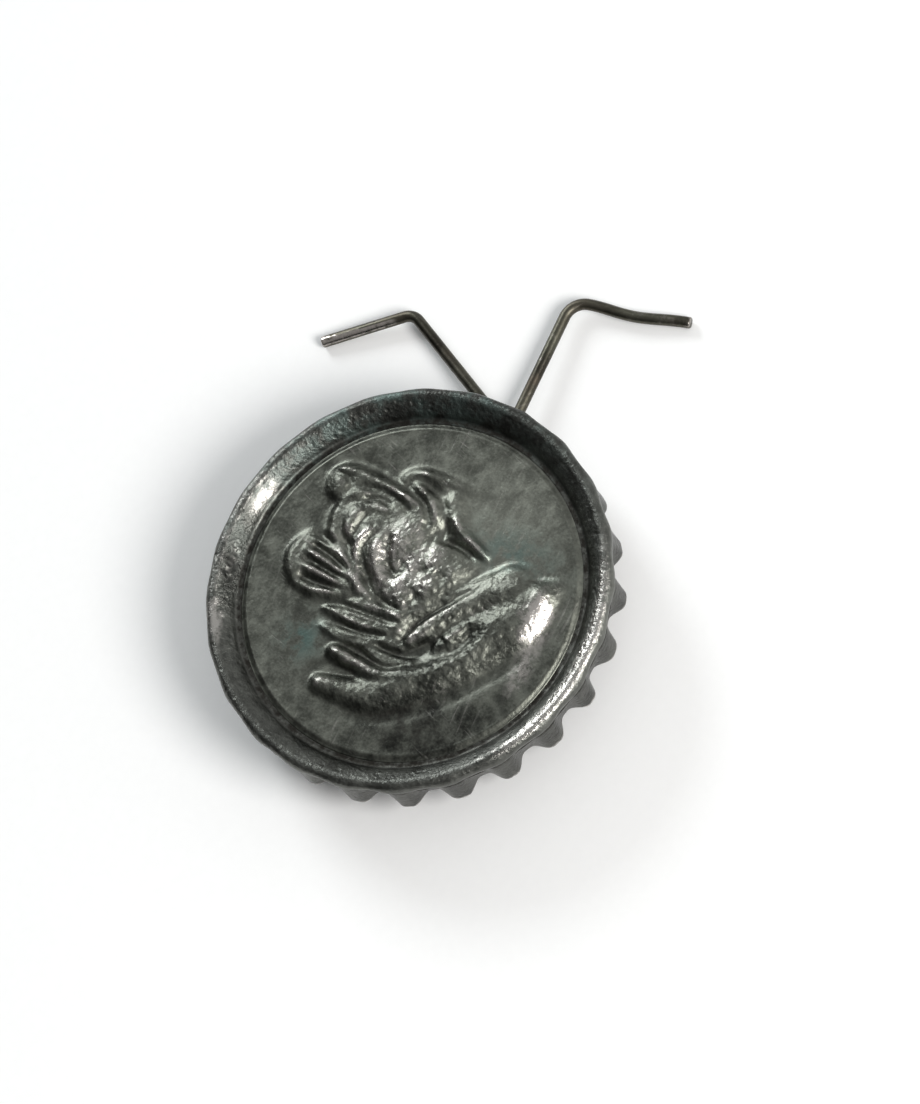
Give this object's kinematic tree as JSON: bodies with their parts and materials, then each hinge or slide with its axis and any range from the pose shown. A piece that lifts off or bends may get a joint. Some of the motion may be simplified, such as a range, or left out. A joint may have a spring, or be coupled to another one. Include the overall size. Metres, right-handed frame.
{
  "type": "cap badge",
  "caption": "Round fluted metal cap badge with a struck hand and posy on a sunken disc, two wire lugs behind, held on by a split pin with spread legs.",
  "frame": {"origin": "centre of the fluted skirt's lower edge, where the badge seats on the cap", "axes": "+Z out of the face, +X along the split pin towards its open ends, +Y up the relief picture"},
  "size_m": [0.0449, 0.0347, 0.0073],
  "materials": {
    "shell_metal": "dark oxidised, greenish grey patina, rubbed bright on the high places",
    "lug_wire": "dull dark",
    "solder": "dull grey soft solder",
    "pin_wire": "dark oxidised drawn wire"
  },
  "bodies": {
    "badge": {"face_shell": "shell_metal", "lug_west": "lug_wire", "lug_east": "lug_wire", "solder_west": "solder", "solder_east": "solder"},
    "pin": {"split_pin": "pin_wire"},
    "upper_leg": {"pin_leg_upper": "pin_wire"},
    "lower_leg": {"pin_leg_lower": "pin_wire"}
  },
  "joints": [
    {"name": "pin_slide", "type": "slide", "parent": "badge", "child": "pin", "axis": [1, 0, 0], "range_m": [-0.0035, 0.0008]},
    {"name": "upper_leg_bend", "type": "hinge", "parent": "pin", "child": "upper_leg", "pos_m": [0.01555, 0.00136, -0.00124], "axis": [0, 0, 1], "range_deg": [-60, 25]},
    {"name": "lower_leg_bend", "type": "hinge", "parent": "pin", "child": "lower_leg", "pos_m": [0.01555, 0.00044, -0.00124], "axis": [0, 0, 1], "range_deg": [-60, 0]}
  ]
}
